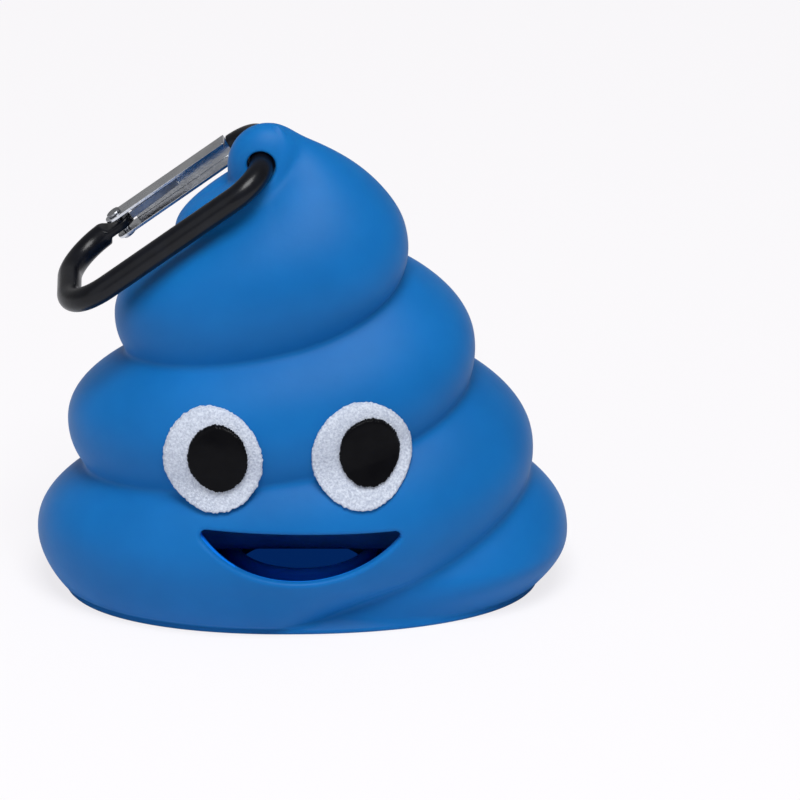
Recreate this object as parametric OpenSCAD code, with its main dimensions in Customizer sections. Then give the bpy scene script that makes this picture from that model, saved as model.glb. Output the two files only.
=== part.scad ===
/* [Swirl body] */
// Half width of each tier at its right side, lowest tier first
tier_right = [44.1, 38.9, 29.9, 20.8]; // [8:0.1:60]
// Half width of each tier at its left side, lowest tier first
tier_left = [43.3, 37.6, 29.2, 17.5]; // [8:0.1:60]
// Height of each tier's widest line at its right side
tier_right_z = [9.8, 24.9, 43.2, 64.4]; // [5:0.1:90]
// Height of each tier's widest line at its left side
tier_left_z = [9.4, 28.7, 47.6, 61.5]; // [5:0.1:90]
// How far each tier sags across the front
front_sag = [2, 2.7, 0, 1]; // [-3:0.1:5]
// Depth of the body as a share of its width, at the ground
depth_share = 0.63; // [0.5:0.01:1]
// Gain of that share for each millimetre of height
depth_gain = 0.0005; // [0:0.0005:0.005]
// How much flatter the back of the top tier is, to leave room for the clip's gate
rear_trim = 0.5; // [0:0.05:0.5]
// Fall-away of a tier 10 mm above and 10 mm below its widest line
tier_fall = [6.4, 4.7]; // [3:0.1:9]
// Width of the soft valley between two tiers
valley = 1.7; // [0.5:0.1:3]
// Squareness of the plan, where 2 is a plain ellipse
squareness = 2.14; // [2:0.02:2.6]
// Half width of the flat sole at the sides, and half width that its depth in front comes from
foot_r = [38.9, 34.9]; // [30:0.1:44]
// How much fuller the sole's left front quarter is than its right one
foot_skew = 0.8; // [0:0.1:2]
// Thickness of the sole's thin edge, and its reach beyond the body above it
foot_edge = [0.8, 0.5]; // [0.2:0.1:1.5]
// Sideways lean of the swirl at mid height and at the tip
lean = [1.6, 5.4]; // [0:0.1:8]
// Least wall thickness
wall = 2.2; // [1.2:0.1:3.5]
// Floor thickness
floor_t = 2.6; // [1.5:0.1:4]

/* [Tip] */
// Radius of the rounded tip
tip_r = 6.7; // [5.5:0.1:9]
// Height of the rounded tip's centre
tip_z = 74.8; // [70:0.1:80]
// Height of the clip hole's axis
hole_z = 76.3; // [74:0.1:77]
// Clearance round the clip's wire in the hole
hole_clearance = 0.35; // [0.3:0.05:0.6]

/* [Openings] */
// Place of the bag outlet across the body
outlet_x = -0.15; // [-5:0.1:5]
// Width of the bag outlet along its straight edge
outlet_w = 34.8; // [24:0.2:38]
// Drop of the bag outlet's curved edge below the straight one
outlet_drop = 8.7; // [6:0.1:12]
// Height of the outlet's straight edge
outlet_top = 19.4; // [18:0.1:24]
// Radius at the outlet's corners
outlet_corner = 0.9; // [0.4:0.1:2]
// Diameter of the refill opening in the floor
refill_d = 21; // [16:0.5:24]
// Width of the soft collar round the refill opening
collar_w = 2; // [1:0.1:4]
// Height of the collar above the floor
collar_h = 2.9; // [1:0.1:5]
// Centre of the refill opening behind the body's middle
refill_y = 3.5; // [0:0.1:5]

/* [Eyes] */
// Width and height of a white eye pad
pad_size = [16.4, 17.4]; // [10:0.2:20]
// Thickness of a white eye pad
pad_t = 0.9; // [0.4:0.1:2]
// Places of the two pads across the body
pad_x = [-14.5, 9.9]; // [-20:0.1:20]
// Heights of the two pads' centres
pad_z = [31, 32]; // [28:0.1:36]
// Width and height of a pupil
pupil_size = [9.9, 11.5]; // [6:0.2:14]
// Thickness of a pupil
pupil_t = 0.7; // [0.3:0.1:2]
// Shift across of each pupil from its pad's centre
pupil_shift_x = [0.8, 1.3]; // [-3:0.1:3]
// Shift up of both pupils
pupil_shift_z = 0.7; // [-3:0.1:3]

/* [Clip] */
// Diameter of the clip's wire
wire_d = 4; // [3:0.1:4.5]
// Length of the clip from wire centre to wire centre
clip_l = 39.6; // [36:0.2:60]
// Distance from the hole's middle to the spine, and to the gate
clip_half_w = [9.8, 12.5]; // [9:0.1:16]
// Bend radius of the clip's corners, near the hole and far from it
clip_bend = [6, 8]; // [5:0.1:9]
// Slope of the clip as it leans on the body
clip_lean = 37; // [30:1:45]
// Distance of the gate's rivet from the clip's far end
pivot_back = 10.6; // [9.5:0.1:12]
// Width and depth of the gate's channel
gate_size = [3.6, 3.9]; // [2.8:0.1:4.2]
// Thickness of the gate's sheet
gate_sheet = 0.5; // [0.3:0.05:0.6]
// Thickness of the flattened wire inside the gate
tab_t = 1.6; // [1:0.05:1.8]
// Radius of the rivet's shank
rivet_r = 0.6; // [0.4:0.05:0.8]
// Running clearance of the gate on the rivet
rivet_clearance = 0.05; // [0.02:0.01:0.1]
// Thickness of the gate's leaf spring
leaf_t = 0.25; // [0.15:0.05:0.4]

/* [Bag roll] */
// Length of the roll
roll_l = 60; // [40:1:62]
// Outer radius of the part-used roll
roll_r = 8.5; // [7:0.1:9]
// Outer and inner radius of the core
core_r = [5.8, 4.5]; // [3:0.1:6]
// Thickness of the outermost bag
bag_t = 0.3; // [0.2:0.05:0.5]
// Length of the loose end of the outermost bag
flap_l = 2.4; // [1:0.1:3]
// Clearance round the roll, which its loose end needs as it turns
roll_clearance = 0.8; // [0.6:0.1:2]

/* [Hidden] */
$fn = 64;
gap = 0.3;
far = 60;

// Shift that brings the middle of the part's box to the origin
shift = [-0.09, -0.87, 0];

// Points round the body and rows up it, outside and inside
around = 72;
body_rows = 44;
cap_rows = 7;
inner_around = 44;
inner_rows = 22;
tip_rise = tip_r * 1.1;
cavity_top = tier_left_z[3] + 3;

// Widths and heights at each half turn: right side, left side, right side and so on
half_turns = len(tier_right) * 2;
turn_r = [for (i = [0 : half_turns - 1]) i % 2 == 0 ? tier_right[i / 2] : tier_left[(i - 1) / 2]];
turn_z = [for (i = [0 : half_turns - 1]) i % 2 == 0 ? tier_right_z[i / 2] : tier_left_z[(i - 1) / 2]];

// The swirl's first stretch dives into the ground, and its last one runs up into the tip
tail_r = tier_right[0] - 7;
tail_z = -tier_right_z[0] * 1.4;
end_shrink = 20;
end_rise = 25;
tier_power = 2.1;
top_fall = 10.8;
neck_fall = 0.03;

function ease(t) = let (u = min(1, max(0, t))) u * u * (3 - 2 * u);

function soft_max(a, b, k) =
    let (h = min(1, max(0, 0.5 + (a - b) / (2 * k))))
    b + (a - b) * h + k * h * (1 - h);

function pick(list, i) = list[min(len(list) - 1, max(0, i))];

// Smooth curve through a list of values, one for each half turn
function along(list, half_turn) =
    let (
        u = min(len(list) - 1.000001, max(0, half_turn)),
        i = floor(u),
        f = u - i,
        slope_a = (pick(list, i + 1) - pick(list, i - 1)) / 2,
        slope_b = (pick(list, i + 2) - pick(list, i)) / 2
    )
    (2 * f * f * f - 3 * f * f + 1) * pick(list, i) + (f * f * f - 2 * f * f + f) * slope_a
        + (3 * f * f - 2 * f * f * f) * pick(list, i + 1) + (f * f * f - f * f) * slope_b;

// Share of the front: 1 in the middle of the front, 0 at the sides and all round the back
function frontness(turn) = turn < 0.5 ? pow(sin(360 * turn), 2) : 0;

// Radius of one tier at height z. turn runs 0 to 1 from the left side round the front
function tier_radius(n, turn, z) =
    let (
        t = n + turn,
        dive = ease((-0.5 - t) / 0.35),
        finish = ease((t - 3) / 0.6),
        mid_r = along(turn_r, 2 * t + 1) * (1 - dive) + tail_r * dive - end_shrink * finish
            - max(0, -0.85 - t) * 200,
        mid_z = (along(turn_z, 2 * t + 1) - front_sag[min(3, max(0, n))] * frontness(turn)) * (1 - dive)
            + tail_z * dive + end_rise * finish,
        above = tier_fall[0] + (top_fall - tier_fall[0]) * ease((t - 2.5) / 0.6),
        fall = z > mid_z ? above : tier_fall[1]
    )
    mid_r - fall * pow(abs(z - mid_z) / 10, tier_power);

// Radius of the tip: an egg's end above its centre, and slowly narrower below it
function tip_radius(z) =
    z > tip_z ? tip_r * sqrt(max(0, 1 - pow((z - tip_z) / tip_rise, 2)))
        : tip_r - neck_fall * pow(tip_z - z, 2);

// Radius of the pile: the softened outline of its tiers and its tip
function pile_radius(turn, z, k, n = 3) =
    n < -1 ? tip_radius(z) : soft_max(tier_radius(n, turn, z), pile_radius(turn, z, k, n - 1), k);

// Radius of the flat sole
function foot_radius(turn) =
    foot_r[0] - (foot_r[0] - foot_r[1]) * pow(sin(360 * turn), 2)
        + (turn < 0.5 ? foot_skew * sin(720 * turn) : 0);

// Radius of the whole swirl: the pile, drawn in or out near the ground to meet the sole
foot_h = 9;
function swirl_radius(turn, z, k) =
    let (near = 1 - ease(z / foot_h))
    pile_radius(turn, z, k)
        + (near > 0 ? near * (foot_radius(turn) - foot_edge[1] - pile_radius(turn, 0, k)) : 0);

function depth_at(z) = depth_share + depth_gain * z;

// The back of the top tier is flatter than its front, and the tip only a little
trim_from = 54;
trim_over = 12;
tip_from = 66;
tip_over = 8;
tip_share = 0.4;
function rear_depth(z) =
    let (
        tier = ease((z - trim_from) / trim_over),
        tip = ease((z - tip_from) / tip_over)
    )
    depth_at(z) * (1 - rear_trim * tier * (1 - (1 - tip_share) * tip));
function axis_x(z) =
    let (t = ease((z - 54) / 20))
    -lean[0] * z / 50 * (1 - t) - lean[1] * t;
function round_off(v) = sign(v) * pow(abs(v), 2 / squareness);

// A point of the body's skin at radius r
function skin_point(turn, z, r) = [
    shift[0] + axis_x(z) - r * round_off(cos(360 * turn)),
    shift[1] - r * (turn < 0.5 ? depth_at(z) : rear_depth(z)) * round_off(sin(360 * turn)),
    z
];

// Closed net of rings, each a list of as many points, with a flat end below and above
module ring_stack(rings) {
    m = len(rings[0]);
    n = len(rings);
    sides = [for (j = [0 : n - 2]) for (i = [0 : m - 1])
        let (a = j * m + i, b = j * m + (i + 1) % m)
        each [[a, b + m, b], [a, a + m, b + m]]];
    bottom = [[for (i = [0 : m - 1]) i]];
    top = [[for (i = [m - 1 : -1 : 0]) (n - 1) * m + i]];
    polyhedron(points = [for (ring = rings) each ring], faces = concat(sides, bottom, top));
}

// Rows are level and even up to the tip's centre, then close over it
function row_z(j) =
    j <= body_rows ? tip_z * j / body_rows
        : tip_z + tip_rise * sin(90 * (j - body_rows) / (cap_rows + 0.5));

module swirl() {
    ring_stack([for (j = [0 : body_rows + cap_rows])
        let (z = row_z(j))
        [for (i = [0 : around - 1])
            let (turn = i / around)
            skin_point(turn, z, swirl_radius(turn, z, valley))]]);
}

// The sole: a thin flat plate that shows as a fine edge all round
module sole() {
    linear_extrude(foot_edge[0])
        polygon([for (i = [0 : around - 1])
            let (p = skin_point(i / around, 0, foot_radius(i / around)))
            [p[0], p[1]]]);
}

// Radius of the hollow, a wall's thickness inside the skin, measured level and upwards
function hollow_radius(turn, z) =
    min(swirl_radius(turn, z, 3), swirl_radius(turn, z + wall, 3)) - wall / depth_at(z);

module hollow() {
    ring_stack([for (j = [0 : inner_rows])
        let (z = floor_t + (cavity_top - floor_t) * j / inner_rows)
        [for (i = [0 : inner_around - 1])
            let (turn = i / inner_around)
            skin_point(turn, z, hollow_radius(turn, z))]]);
}

// Outline of the bag outlet, straight on top and round below
outlet_r = (pow(outlet_w / 2, 2) + pow(outlet_drop, 2)) / (2 * outlet_drop);
module outlet_outline() {
    offset(r = outlet_corner) offset(delta = -outlet_corner)
        intersection() {
            translate([0, outlet_r - outlet_drop]) circle(r = outlet_r, $fn = 96);
            translate([-outlet_w, -outlet_drop]) square([outlet_w * 2, outlet_drop]);
        }
}

module outlet() {
    translate(shift + [outlet_x, 0, outlet_top]) rotate([90, 0, 0]) linear_extrude(far) outlet_outline();
}

// The clip's place: its length runs away from the hole and its width along Y
wire_r = wire_d / 2;
hole_at = shift + [axis_x(tip_z) - 1.15, 0, hole_z];
module in_clip() {
    translate(hole_at) rotate([0, 180 - clip_lean, 0]) children();
}

// Hole for the clip's bent wire: straight in the middle, flared as the bend needs
throat_r = wire_r + hole_clearance;
flat_from = clip_bend[0] - clip_half_w[0];
flat_to = clip_half_w[1] - clip_bend[0];
function flare(y) =
    let (out = max(0, y - flat_to, flat_from - y))
    throat_r + clip_bend[0] - sqrt(pow(clip_bend[0], 2) - pow(out, 2));
module clip_hole() {
    depth = 8.5;
    steps = 16;
    translate(hole_at) rotate([90, 0, 0]) rotate_extrude()
        polygon(concat(
            [[0, depth], [0, -depth]],
            [for (i = [0 : steps]) let (v = -depth + 2 * depth * i / steps) [flare(-v), v]]));
}

module shell() {
    color([0.1, 0.39, 0.67])
        difference() {
            union() {
                difference() {
                    union() {
                        swirl();
                        sole();
                    }
                    hollow();
                    outlet();
                }
                translate(shift + [0, refill_y, floor_t / 2])
                    cylinder(r = refill_d / 2 + collar_w, h = floor_t / 2 + collar_h);
            }
            translate(shift + [0, refill_y, -1]) cylinder(d = refill_d, h = far / 2);
            clip_hole();
        }
}

// Radius of the skin with softer valleys, swollen by grow
function swollen_radius(turn, z, grow) = swirl_radius(turn, z, pad_valley) + grow / depth_at(z);

// Where on the way round the front a point lies that is x across the body at height z
function turn_at(x, z, grow, turn = 0.25, n = 6) =
    n == 0 ? turn :
    let (c = (axis_x(z) - x) / swollen_radius(turn, z, grow))
    turn_at(x, z, grow, acos(sign(c) * pow(min(1, abs(c)), squareness / 2)) / 360, n - 1);

function front_point(x, z, grow) =
    let (turn = turn_at(x, z, grow))
    skin_point(turn, z, swollen_radius(turn, z, grow));

// An oval pad on the front, between two swollen copies of the skin, with a rounded rim
module front_pad(centre, size, from, to) {
    spokes = 40;
    shares = [0.25, 0.5, 0.75, 0.92, 1];
    function ring(share, grow) = [for (i = [0 : spokes - 1])
        front_point(centre[0] + size[0] / 2 * share * cos(360 * i / spokes),
            centre[1] + size[1] / 2 * share * sin(360 * i / spokes), grow)];
    rim = to - (to - from) * 0.4;
    rings = concat([for (s = shares) ring(s, from)], [ring(1, rim)],
        [for (i = [3 : -1 : 0]) ring(shares[i], to)]);
    n = len(rings);
    last = n * spokes;
    sides = [for (j = [0 : n - 2]) for (i = [0 : spokes - 1])
        let (a = j * spokes + i, b = j * spokes + (i + 1) % spokes)
        each [[a, b + spokes, b], [a, a + spokes, b + spokes]]];
    back = [for (i = [0 : spokes - 1]) [i, (i + 1) % spokes, last]];
    front = [for (i = [0 : spokes - 1]) [last - spokes + (i + 1) % spokes, last - spokes + i, last + 1]];
    middles = [front_point(centre[0], centre[1], from), front_point(centre[0], centre[1], to)];
    polyhedron(points = concat([for (r = rings) each r], middles), faces = concat(sides, back, front));
}

pad_valley = 9;
pad_seat = 0.12;
module eye_white(side) {
    color([0.78, 0.8, 0.84]) front_pad([pad_x[side], pad_z[side]], pad_size, pad_seat, pad_t);
}

module pupil(side) {
    color([0.05, 0.05, 0.06])
        front_pad([pad_x[side] + pupil_shift_x[side], pad_z[side] + pupil_shift_z], pupil_size,
            pad_t + pad_seat / 2, pad_t + pupil_t);
}

// A quarter bend of the clip's wire, from its own +X side to its +Y side
module bend(radius, centre, turn) {
    translate([centre[0], centre[1], 0]) rotate([0, 0, turn]) rotate_extrude(angle = 90)
        translate([radius, 0]) circle(r = wire_r);
}

module straight(from, to) {
    length = norm(to - from);
    translate([from[0], from[1], 0])
        rotate([0, 90, atan2(to[1] - from[1], to[0] - from[0])]) cylinder(r = wire_r, h = length);
}

spine_y = -clip_half_w[0];
gate_y = clip_half_w[1];
pivot_s = clip_l - pivot_back;
tab_r = gate_size[0] / 2 + 0.2;
tab_start = pivot_s + tab_r + 2 * gap;
module clip_body() {
    color([0.06, 0.06, 0.07]) in_clip() {
        near = clip_bend[0];
        wide = clip_bend[1];
        away = clip_l - wide;
        straight([0, spine_y + near], [0, gate_y - near]);
        bend(near, [near, spine_y + near], 180);
        bend(near, [near, gate_y - near], 90);
        straight([near, spine_y], [away, spine_y]);
        bend(wide, [away, spine_y + wide], 270);
        straight([clip_l, spine_y + wide], [clip_l, gate_y - wide]);
        difference() {
            union() {
                difference() {
                    bend(wide, [away, gate_y - wide], 0);
                    translate([away - 1, gate_y - wire_d, -wire_d])
                        cube([max(0.01, tab_start - away + 1), wire_d * 2, wire_d * 2]);
                }
                translate([pivot_s, gate_y, -tab_t / 2]) cylinder(r = tab_r, h = tab_t);
                translate([pivot_s, gate_y - tab_r, -tab_t / 2])
                    cube([tab_start - pivot_s + 0.4, tab_r * 2 - 0.1, tab_t]);
            }
            translate([pivot_s, gate_y, -wire_d]) cylinder(r = rivet_r, h = wire_d * 2);
        }
    }
}

// The gate is a folded channel: two cheeks, and a web on the outer side
gate_tip = clip_bend[0] + 2 * gap;
cheek_in = gate_size[1] / 2 - gate_sheet;
module clip_gate() {
    color([0.8, 0.81, 0.83]) in_clip() {
        difference() {
            union() {
                for (z = [-gate_size[1] / 2, cheek_in])
                    translate([0, 0, z]) {
                        translate([gate_tip, gate_y - gate_size[0] / 2, 0])
                            cube([pivot_s - gate_tip, gate_size[0], gate_sheet]);
                        translate([pivot_s, gate_y, 0]) cylinder(d = gate_size[0], h = gate_sheet);
                    }
                translate([gate_tip, gate_y + gate_size[0] / 2 - gate_sheet, -gate_size[1] / 2])
                    cube([pivot_s - tab_r - gap - gate_tip, gate_sheet, gate_size[1]]);
            }
            translate([pivot_s, gate_y, -wire_d])
                cylinder(r = rivet_r + rivet_clearance, h = wire_d * 2);
        }
    }
}

module gate_rivet() {
    head_r = rivet_r * 2;
    head_t = 0.45;
    color([0.7, 0.71, 0.73]) in_clip() translate([pivot_s, gate_y, 0]) {
        half = gate_size[1] / 2 + rivet_clearance;
        translate([0, 0, -half]) cylinder(r = rivet_r, h = half * 2);
        translate([0, 0, half]) cylinder(r = head_r, h = head_t);
        translate([0, 0, -half - head_t]) cylinder(r = head_r, h = head_t);
    }
}

// Leaf spring: fixed in the gate's channel, its end bears on the round end of the flattened wire
module gate_spring() {
    leaf_w = 1.2;
    leaf_l = 9.5;
    from = [pivot_s - tab_r - rivet_clearance, gate_y];
    to = [from[0] - leaf_l, gate_y + gate_size[0] / 2 - gate_sheet - leaf_t];
    color([0.6, 0.62, 0.65]) in_clip()
        linear_extrude(leaf_w, center = true)
            polygon([from, from + [0, leaf_t], to + [0, leaf_t], to]);
}

// The roll lies over the collar, as far back as its ends leave it clear of the hollow's wall
end_room = 0.5;
roll_z = floor_t + collar_h + roll_clearance + roll_r;
function hollow_depth(x, z) =
    let (r = hollow_radius(0.75, z))
    r * rear_depth(z) * pow(max(0.01, 1 - pow(min(0.99, (x + abs(axis_x(z))) / r), squareness)), 1 / squareness);
function room_behind(up) =
    hollow_depth(roll_l / 2 + end_room, roll_z + up) - sqrt(pow(roll_r, 2) - pow(up, 2));
roll_y = min([for (i = [-9 : 9]) room_behind(roll_r * i / 10)]) - roll_clearance;
module in_roll() {
    translate(shift + [-roll_l / 2, roll_y, roll_z]) rotate([0, 90, 0]) children();
}

module tube(outer, inner, length) {
    difference() {
        cylinder(r = outer, h = length);
        translate([0, 0, -1]) cylinder(r = inner, h = length + 2);
    }
}

module roll_core() {
    color([0.08, 0.08, 0.09]) in_roll() tube(core_r[0], core_r[1], roll_l);
}

film_r = roll_r - bag_t;
module bag_roll() {
    color([0.24, 0.55, 0.78]) in_roll() tube(film_r, core_r[0], roll_l);
}

// The outermost bag goes once round the roll and ends in a loose flap
module leading_bag() {
    inset = 0.5;
    color([0.3, 0.62, 0.84]) in_roll() translate([0, 0, inset]) {
        tube(roll_r, film_r, roll_l - 2 * inset);
        rotate([0, 0, 200]) translate([roll_r, 0, 0]) rotate([0, 0, 86])
            cube([flap_l, bag_t, roll_l - 2 * inset]);
    }
}

shell();
eye_white(0);  // left_eye_white
eye_white(1);  // right_eye_white
pupil(0);  // left_pupil
pupil(1);  // right_pupil
clip_body();
clip_gate();
gate_rivet();
gate_spring();
roll_core();
bag_roll();
leading_bag();
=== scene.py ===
# %% [markdown]
# # A soft swirl that hands out bags
# The object is a hollow silicone swirl with two flocked eyes, a mouth that a bag is pulled out of,
# and a wire clip through its tip. Every length below is in millimetres, in the same frame as the
# solids: X runs across the front, Y runs away from the camera and Z is up. The values of the swirl
# are those of the solids, so the dressed surfaces lie on them.

import bmesh
import bpy
import numpy as np
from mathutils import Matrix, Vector


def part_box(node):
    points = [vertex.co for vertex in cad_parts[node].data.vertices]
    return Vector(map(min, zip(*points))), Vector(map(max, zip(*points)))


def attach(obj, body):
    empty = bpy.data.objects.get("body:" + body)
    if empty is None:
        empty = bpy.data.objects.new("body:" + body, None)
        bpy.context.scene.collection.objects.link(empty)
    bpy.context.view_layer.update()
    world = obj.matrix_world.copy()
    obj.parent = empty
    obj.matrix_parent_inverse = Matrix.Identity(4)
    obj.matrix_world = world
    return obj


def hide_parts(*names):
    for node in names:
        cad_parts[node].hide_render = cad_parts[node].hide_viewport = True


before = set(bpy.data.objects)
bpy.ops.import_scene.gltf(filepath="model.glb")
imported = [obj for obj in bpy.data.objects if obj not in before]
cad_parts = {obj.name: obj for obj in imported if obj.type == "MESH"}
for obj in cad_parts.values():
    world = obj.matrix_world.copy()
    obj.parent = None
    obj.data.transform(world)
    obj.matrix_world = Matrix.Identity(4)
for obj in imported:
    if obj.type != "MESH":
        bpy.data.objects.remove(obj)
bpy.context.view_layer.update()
MM = 0.001
SHIFT = np.array([-0.09, -0.87, 0.0])

# %% [markdown]
# ## Camera
# The photograph looks down at 24.5 degrees with almost no perspective, so the camera stands far
# away behind a very long lens. At this distance one millimetre is 6.05 pixels of the 800.

# %% Camera
PITCH = np.radians(24.5)
DISTANCE = 4000.0
SENSOR = 36.0
PIXELS_PER_MM = 6.05
PICTURE = 800
LENS = DISTANCE * PIXELS_PER_MM * SENSOR / PICTURE
TARGET = np.array([16.1, 11.2, 26.9])


def make_camera():
    """Camera at the target, minus the viewing direction times the distance."""
    look = np.array([0.0, np.cos(PITCH), -np.sin(PITCH)])
    camera = bpy.data.objects.new("camera", bpy.data.cameras.new("camera"))
    camera.location = Vector((TARGET - look * DISTANCE) * MM)
    camera.rotation_euler = Vector(look).to_track_quat("-Z", "Y").to_euler()
    camera.data.lens = LENS
    camera.data.clip_start = 0.1
    bpy.context.collection.objects.link(camera)
    bpy.context.scene.camera = camera
    return camera


camera = make_camera()
print("camera at", [round(v, 3) for v in camera.location])

# %% [markdown]
# ## The swirl's formula
# The real body is moulded as a thick rope that winds up into a pile. At each height and turn its
# radius is the softened largest of the tiers' radii, and each tier falls away from its widest line
# by a power of the height above or below it. Working on whole arrays keeps this fast.

# %% Swirl formula
TIER_RIGHT = [44.1, 38.9, 29.9, 20.8]
TIER_LEFT = [43.3, 37.6, 29.2, 17.5]
TIER_RIGHT_Z = [9.8, 24.9, 43.2, 64.4]
TIER_LEFT_Z = [9.4, 28.7, 47.6, 61.5]
FRONT_SAG = np.array([2.0, 2.7, 0.0, 1.0])
TIER_FALL = (6.4, 4.7)
TOP_FALL = 10.8
TIER_POWER = 2.1
TAIL_R, TAIL_Z = TIER_RIGHT[0] - 7, -TIER_RIGHT_Z[0] * 1.4
TAIL_END, GONE = -0.85, 200
END_SHRINK, END_RISE = 20, 25
TIP_R, TIP_Z, NECK_FALL = 6.7, 74.8, 0.03
TIP_RISE = TIP_R * 1.1
DEPTH_SHARE, DEPTH_GAIN = 0.63, 0.0005
REAR_TRIM, TIP_SHARE = 0.5, 0.4
TRIM_FROM, TRIM_OVER, TIP_FROM, TIP_OVER = 54, 12, 66, 8
LEAN_FROM, LEAN_OVER, LEAN_AT = 54, 20, 50
SQUARENESS = 2.14
LEAN = (1.6, 5.4)
VALLEY, INNER_VALLEY, PAD_VALLEY = 1.7, 3.0, 9.0
WALL, FLOOR_T = 2.2, 2.6
FOOT_R, FOOT_SKEW, FOOT_H = (38.9, 34.9), 0.8, 9.0
FOOT_EDGE_T, FOOT_EDGE_REACH = 0.8, 0.5
TURN_R = np.ravel(np.column_stack([TIER_RIGHT, TIER_LEFT]))
TURN_Z = np.ravel(np.column_stack([TIER_RIGHT_Z, TIER_LEFT_Z]))


def ease(t):
    """0 below 0 and 1 above 1, with a smooth 3t^2 - 2t^3 between."""
    u = np.clip(t, 0, 1)
    return u * u * (3 - 2 * u)


def soft_max(a, b, k):
    """The larger of a and b, rounded over where they differ by less than k."""
    h = np.clip(0.5 + (a - b) / (2 * k), 0, 1)
    return b + (a - b) * h + k * h * (1 - h)


def along(values, half_turn):
    """Smooth cubic through a list of values, one for each half turn."""
    last = len(values) - 1
    u = np.clip(half_turn, 0, last - 1e-6)
    i = np.floor(u).astype(int)
    f = u - i
    at = [values[np.clip(i + k, 0, last)] for k in (-1, 0, 1, 2)]
    slope_a, slope_b = (at[2] - at[0]) / 2, (at[3] - at[1]) / 2
    return ((2 * f**3 - 3 * f**2 + 1) * at[1] + (f**3 - 2 * f**2 + f) * slope_a
            + (3 * f**2 - 2 * f**3) * at[2] + (f**3 - f**2) * slope_b)


def tier_radius(n, turn, z):
    """Half width of tier n: its widest radius less fall * (distance from its line / 10) ^ 2.1."""
    t = n + turn
    dive = ease((-0.5 - t) / 0.35)
    finish = ease((t - 3) / 0.6)
    front = np.where(turn < 0.5, np.sin(2 * np.pi * turn) ** 2, 0)
    mid_r = (along(TURN_R, 2 * t + 1) * (1 - dive) + TAIL_R * dive - END_SHRINK * finish
             - np.maximum(0, TAIL_END - t) * GONE)
    mid_z = ((along(TURN_Z, 2 * t + 1) - FRONT_SAG[min(3, max(0, n))] * front) * (1 - dive)
             + TAIL_Z * dive + END_RISE * finish)
    above = TIER_FALL[0] + (TOP_FALL - TIER_FALL[0]) * ease((t - 2.5) / 0.6)
    fall = np.where(z > mid_z, above, TIER_FALL[1])
    return mid_r - fall * (np.abs(z - mid_z) / 10) ** TIER_POWER


def pile_radius(turn, z, valley):
    """Softened maximum of the tip's radius and the five tiers' radii."""
    up = np.clip(1 - ((z - TIP_Z) / TIP_RISE) ** 2, 0, 1)
    radius = np.where(z > TIP_Z, TIP_R * np.sqrt(up), TIP_R - NECK_FALL * (TIP_Z - z) ** 2)
    for n in range(-1, 4):
        radius = soft_max(tier_radius(n, turn, z), radius, valley)
    return radius


def foot_radius(turn):
    """The flat sole: narrower in front than at the sides, and a little fuller in its left quarter."""
    skew = np.where(turn < 0.5, FOOT_SKEW * np.sin(4 * np.pi * turn), 0)
    return FOOT_R[0] - (FOOT_R[0] - FOOT_R[1]) * np.sin(2 * np.pi * turn) ** 2 + skew


def swirl_radius(turn, z, valley=VALLEY):
    """The pile, drawn in or out over the lowest 9 mm so that it meets the sole."""
    near = 1 - ease(z / FOOT_H)
    foot = foot_radius(turn) - FOOT_EDGE_REACH - pile_radius(turn, 0 * z, valley)
    return pile_radius(turn, z, valley) + near * foot


def hollow_radius(turn, z):
    """The skin's radius with softer valleys, a wall's thickness further in."""
    level, higher = swirl_radius(turn, z, INNER_VALLEY), swirl_radius(turn, z + WALL, INNER_VALLEY)
    return np.minimum(level, higher) - WALL / front_depth(z)


def front_depth(z):
    """Depth as a share of half the width, a little more with each millimetre of height."""
    return DEPTH_SHARE + DEPTH_GAIN * z


def rear_depth(z):
    """The same share behind, cut by REAR_TRIM over the top tier and by less of it at the tip."""
    tier, tip = ease((z - TRIM_FROM) / TRIM_OVER), ease((z - TIP_FROM) / TIP_OVER)
    return front_depth(z) * (1 - REAR_TRIM * tier * (1 - (1 - TIP_SHARE) * tip))


def axis_x(z):
    """The rings' middle: it leans in proportion to z, and eases into the tip's own lean."""
    t = ease((z - LEAN_FROM) / LEAN_OVER)
    return SHIFT[0] - LEAN[0] * z / LEAN_AT * (1 - t) - LEAN[1] * t


def round_off(v):
    """A cosine or sine softened for a superellipse: sign(v) * |v| ^ (2 / squareness)."""
    return np.sign(v) * np.abs(v) ** (2 / SQUARENESS)


def skin_point(turn, z, radius):
    """Superellipse ring: x = axis - r c, y = -r * depth * s, with softened cos and sin."""
    depth = np.where(turn < 0.5, front_depth(z), rear_depth(z))
    x = axis_x(z) - radius * round_off(np.cos(2 * np.pi * turn))
    y = SHIFT[1] - radius * depth * round_off(np.sin(2 * np.pi * turn))
    return np.stack([x, y, z + 0 * x], axis=-1)


def turn_at(x, z, radius_of, rear=False):
    """The turn at which a ring passes a given x, found by repeating turn = acos((axis - x) / r)."""
    turn = np.full(np.broadcast(x, z).shape, 0.75 if rear else 0.25)
    for _ in range(9):
        c = np.clip((axis_x(z) - x) / radius_of(turn, z), -1, 1)
        turn = np.arccos(np.sign(c) * np.abs(c) ** (SQUARENESS / 2)) / (2 * np.pi)
        turn = 1 - turn if rear else turn
    return turn


def skin_at(x, z, radius_of=swirl_radius, rear=False):
    """Point of the front (or rear) skin at x and z."""
    turn = turn_at(x, z, radius_of, rear)
    return skin_point(turn, z, radius_of(turn, z))


print("half width at the base line:", round(float(swirl_radius(np.array(0.5), TIER_RIGHT_Z[0])), 2))

# %% [markdown]
# ## From arrays to pieces
# A piece is a list of points and a list of faces. This helper puts them into a mesh, gives the
# piece its material and says which body it rides on and which solid it stands for.

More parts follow.
